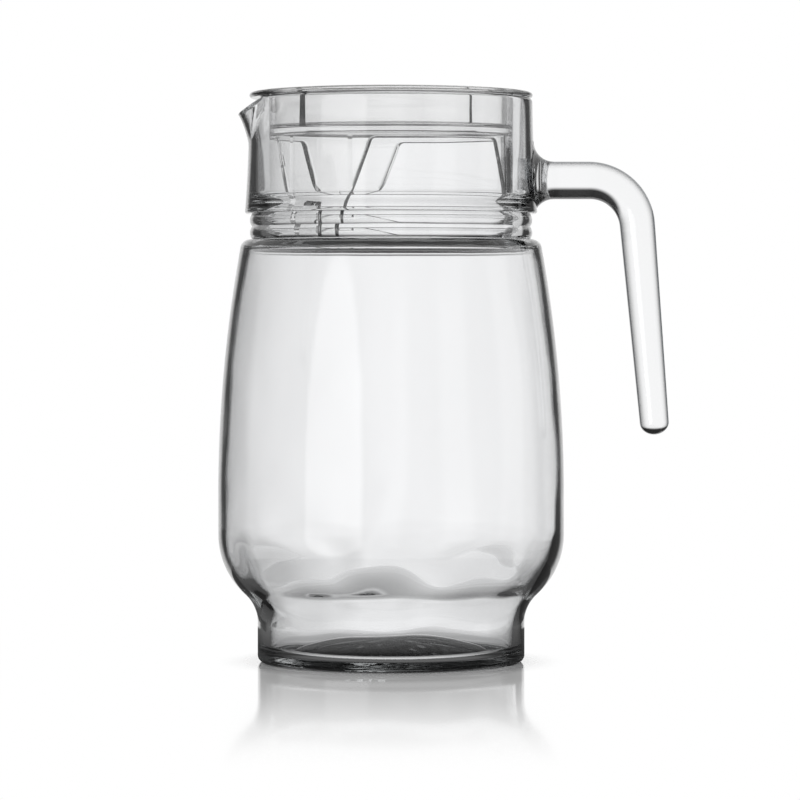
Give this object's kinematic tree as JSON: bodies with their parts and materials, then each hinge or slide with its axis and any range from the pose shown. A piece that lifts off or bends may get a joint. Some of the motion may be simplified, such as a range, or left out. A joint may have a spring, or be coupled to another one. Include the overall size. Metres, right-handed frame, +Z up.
{
  "type": "glass water pitcher",
  "caption": "Clear glass water pitcher with a pulled pouring lip, an open-ended solid glass handle and a clear drop-in lid that lifts out of the neck.",
  "frame": {"origin": "on the surface that the pitcher stands on, under the middle of the whole pitcher with its handle; the vessel's own axis is 19.4 mm from it towards -X", "axes": "+Z up along the vessel's axis, +X towards the handle, -X towards the spout"},
  "size_m": [0.1668, 0.128, 0.2102],
  "materials": {
    "glass": "clear pressed soda-lime glass, fire polished",
    "clear_plastic": "clear moulded plastic, glossy"
  },
  "bodies": {
    "jug": {"glass_body": "glass", "glass_handle": "glass"},
    "lid": {"lid": "clear_plastic"}
  },
  "joints": [
    {"name": "lid_lift", "type": "slide", "parent": "jug", "child": "lid", "axis": [0, 0, 1], "range_m": [0, 0.06]}
  ]
}
